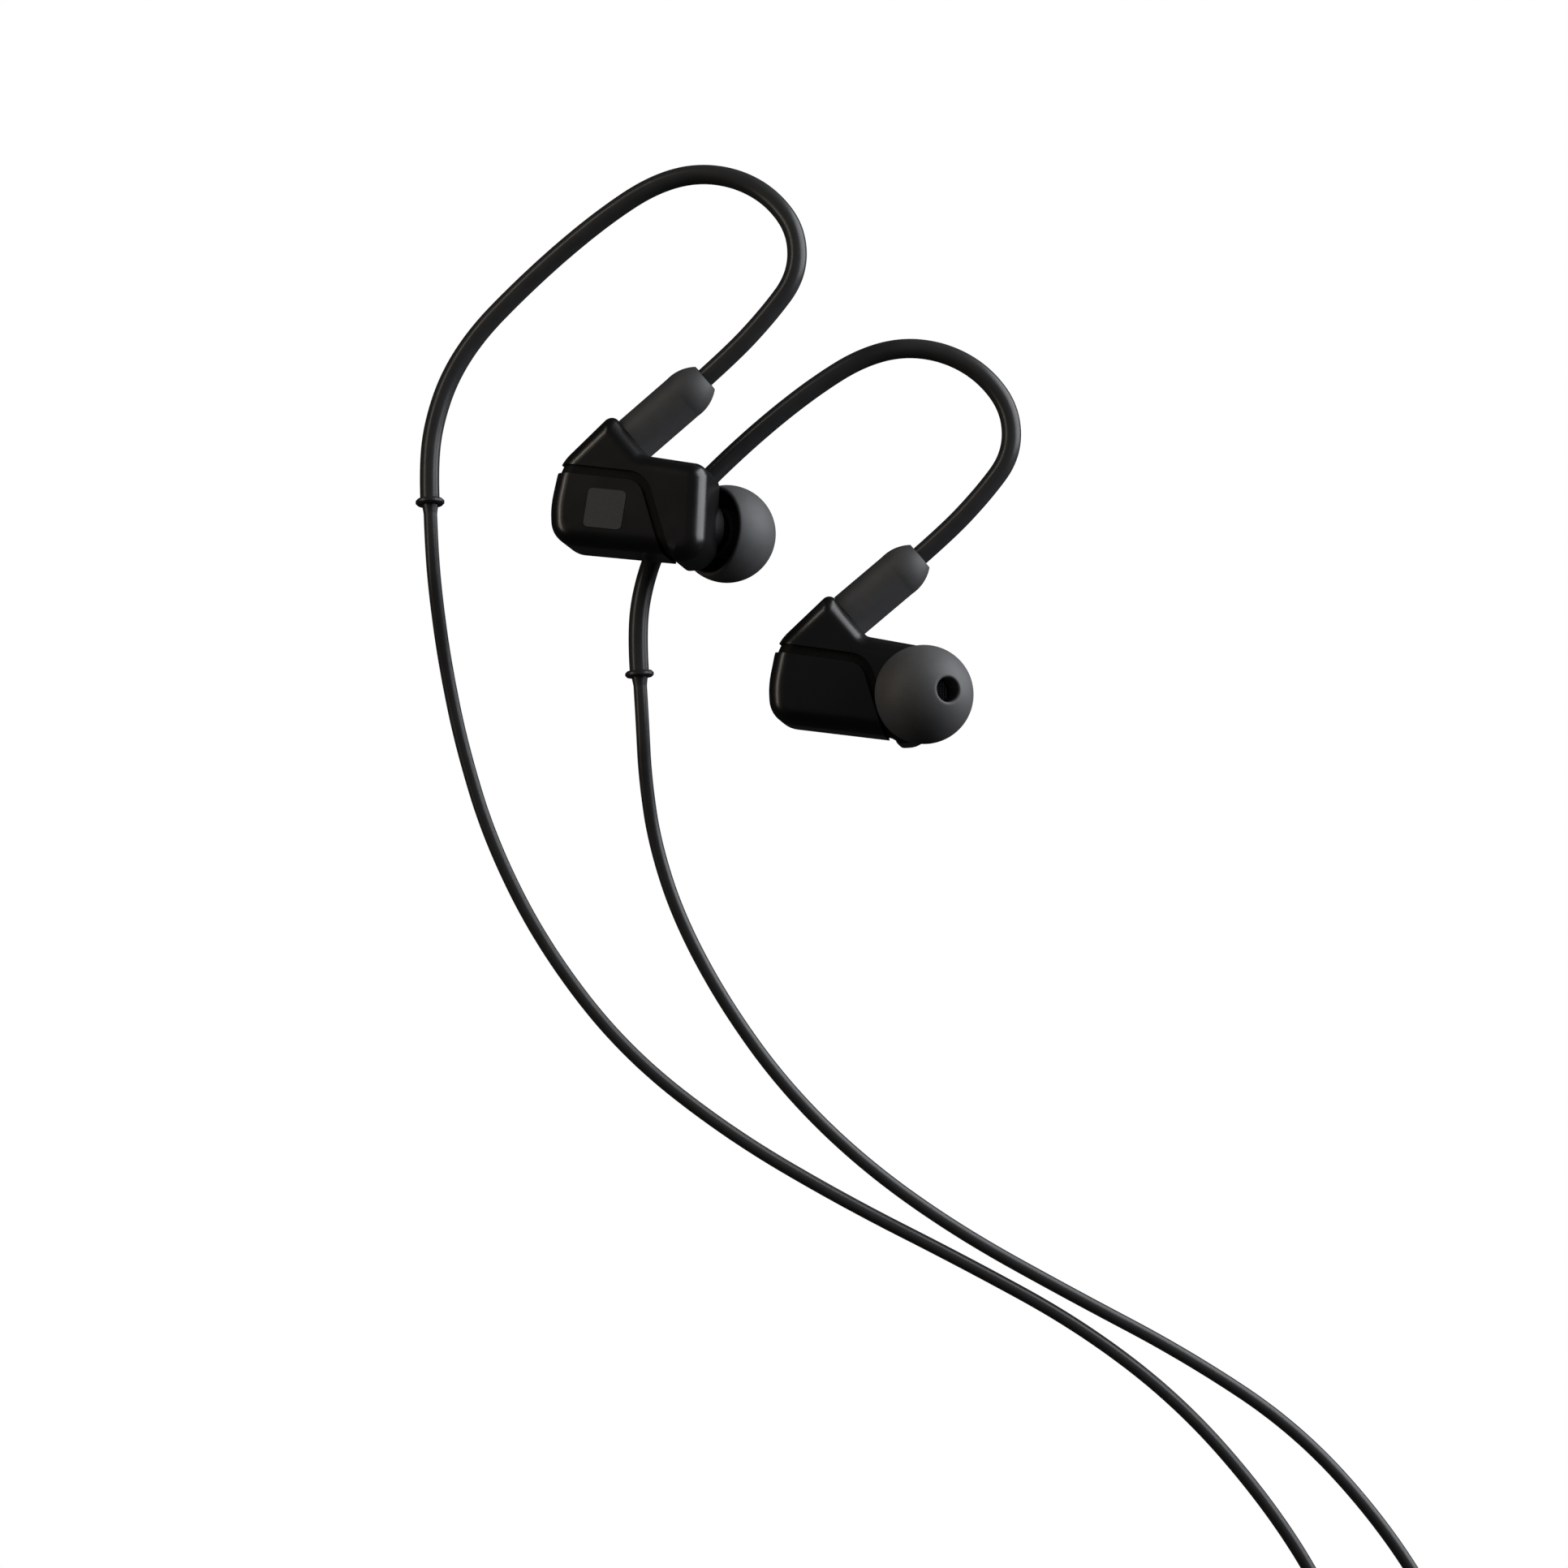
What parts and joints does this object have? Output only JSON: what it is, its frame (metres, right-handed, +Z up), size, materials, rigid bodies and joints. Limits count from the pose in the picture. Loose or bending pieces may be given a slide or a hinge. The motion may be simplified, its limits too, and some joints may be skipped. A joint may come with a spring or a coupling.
{
  "type": "in ear monitors",
  "caption": "Pair of wired in-ear monitors: gloss black housings with silicone tips, over-ear hooks, and a split cable with chin slider, coiled lead and stereo plug.",
  "frame": {"origin": "middle of the box round the two earpieces, on the surface they lie on", "axes": "+Z up from that surface; seen from above, +Y points up the head on both earpieces and the cables leave towards -Y; +X points from the back of the ears to the front"},
  "size_m": [0.1403, 0.22, 0.0214],
  "materials": {
    "gloss_shell": "high gloss black",
    "seam_band": "satin black, recessed",
    "badge_plate": "fine satin dark grey",
    "nozzle_plastic": "semi-gloss black",
    "steel_mesh": "woven steel",
    "tip_silicone": "matte translucent dark grey",
    "driver_steel": "nickel plated",
    "magnet": "nickel plated",
    "copper": "enamelled copper",
    "film": "thin amber film",
    "board": "green solder mask",
    "lead_jacket": "enamelled",
    "boot_rubber": "smooth matte dark grey",
    "hook_sleeve": "satin black",
    "spring_steel": "drawn wire",
    "core_jacket": "satin",
    "collar": "satin black",
    "cable_jacket": "satin black",
    "hardware": "satin black",
    "relief_rubber": "matte black",
    "gold_contact": "gold plated",
    "insulator": "satin black"
  },
  "bodies": {
    "root": {"left_badge": "badge_plate", "left_branch_cable": "cable_jacket", "left_cable_boot": "boot_rubber", "left_core_wires": "core_jacket", "left_driver_diaphragm": "film", "left_driver_frame": "driver_steel", "left_driver_magnet": "magnet", "left_front_shell": "gloss_shell", "left_hook_collar": "collar", "left_hook_sleeve": "hook_sleeve", "left_lead_wires": "lead_jacket", "left_memory_wire": "spring_steel", "left_nozzle": "nozzle_plastic", "left_nozzle_mesh": "steel_mesh", "left_rear_shell": "gloss_shell", "left_seam_gasket": "seam_band", "left_terminal_board": "board", "left_voice_coil": "copper", "main_cable_coil": "cable_jacket", "main_cable_to_coil": "cable_jacket", "main_cable_to_plug": "cable_jacket", "plug_grip": "hardware", "plug_insulator": "insulator", "plug_relief": "relief_rubber", "plug_ring_contact": "gold_contact", "plug_sleeve_contact": "gold_contact", "plug_tip_contact": "gold_contact", "right_badge": "badge_plate", "right_branch_cable": "cable_jacket", "right_cable_boot": "boot_rubber", "right_core_wires": "core_jacket", "right_driver_diaphragm": "film", "right_driver_frame": "driver_steel", "right_driver_magnet": "magnet", "right_front_shell": "gloss_shell", "right_hook_collar": "collar", "right_hook_sleeve": "hook_sleeve", "right_lead_wires": "lead_jacket", "right_memory_wire": "spring_steel", "right_nozzle": "nozzle_plastic", "right_nozzle_mesh": "steel_mesh", "right_rear_shell": "gloss_shell", "right_seam_gasket": "seam_band", "right_terminal_board": "board", "right_voice_coil": "copper", "splitter_relief": "relief_rubber", "y_splitter": "hardware"},
    "right_tip": {"right_ear_tip": "tip_silicone"},
    "left_tip": {"left_ear_tip": "tip_silicone"},
    "slider": {"chin_slider": "hardware"}
  },
  "joints": [
    {"name": "right_tip_pull", "type": "slide", "parent": "root", "child": "right_tip", "axis": [0.7666, -0.1134, -0.6321], "range_m": [0, 0.006]},
    {"name": "left_tip_pull", "type": "slide", "parent": "root", "child": "left_tip", "axis": [0.4808, 0.0889, 0.8723], "range_m": [0, 0.006]},
    {"name": "chin_slide", "type": "slide", "parent": "root", "child": "slider", "axis": [1, 0, 0], "range_m": [0, 0.015]}
  ]
}
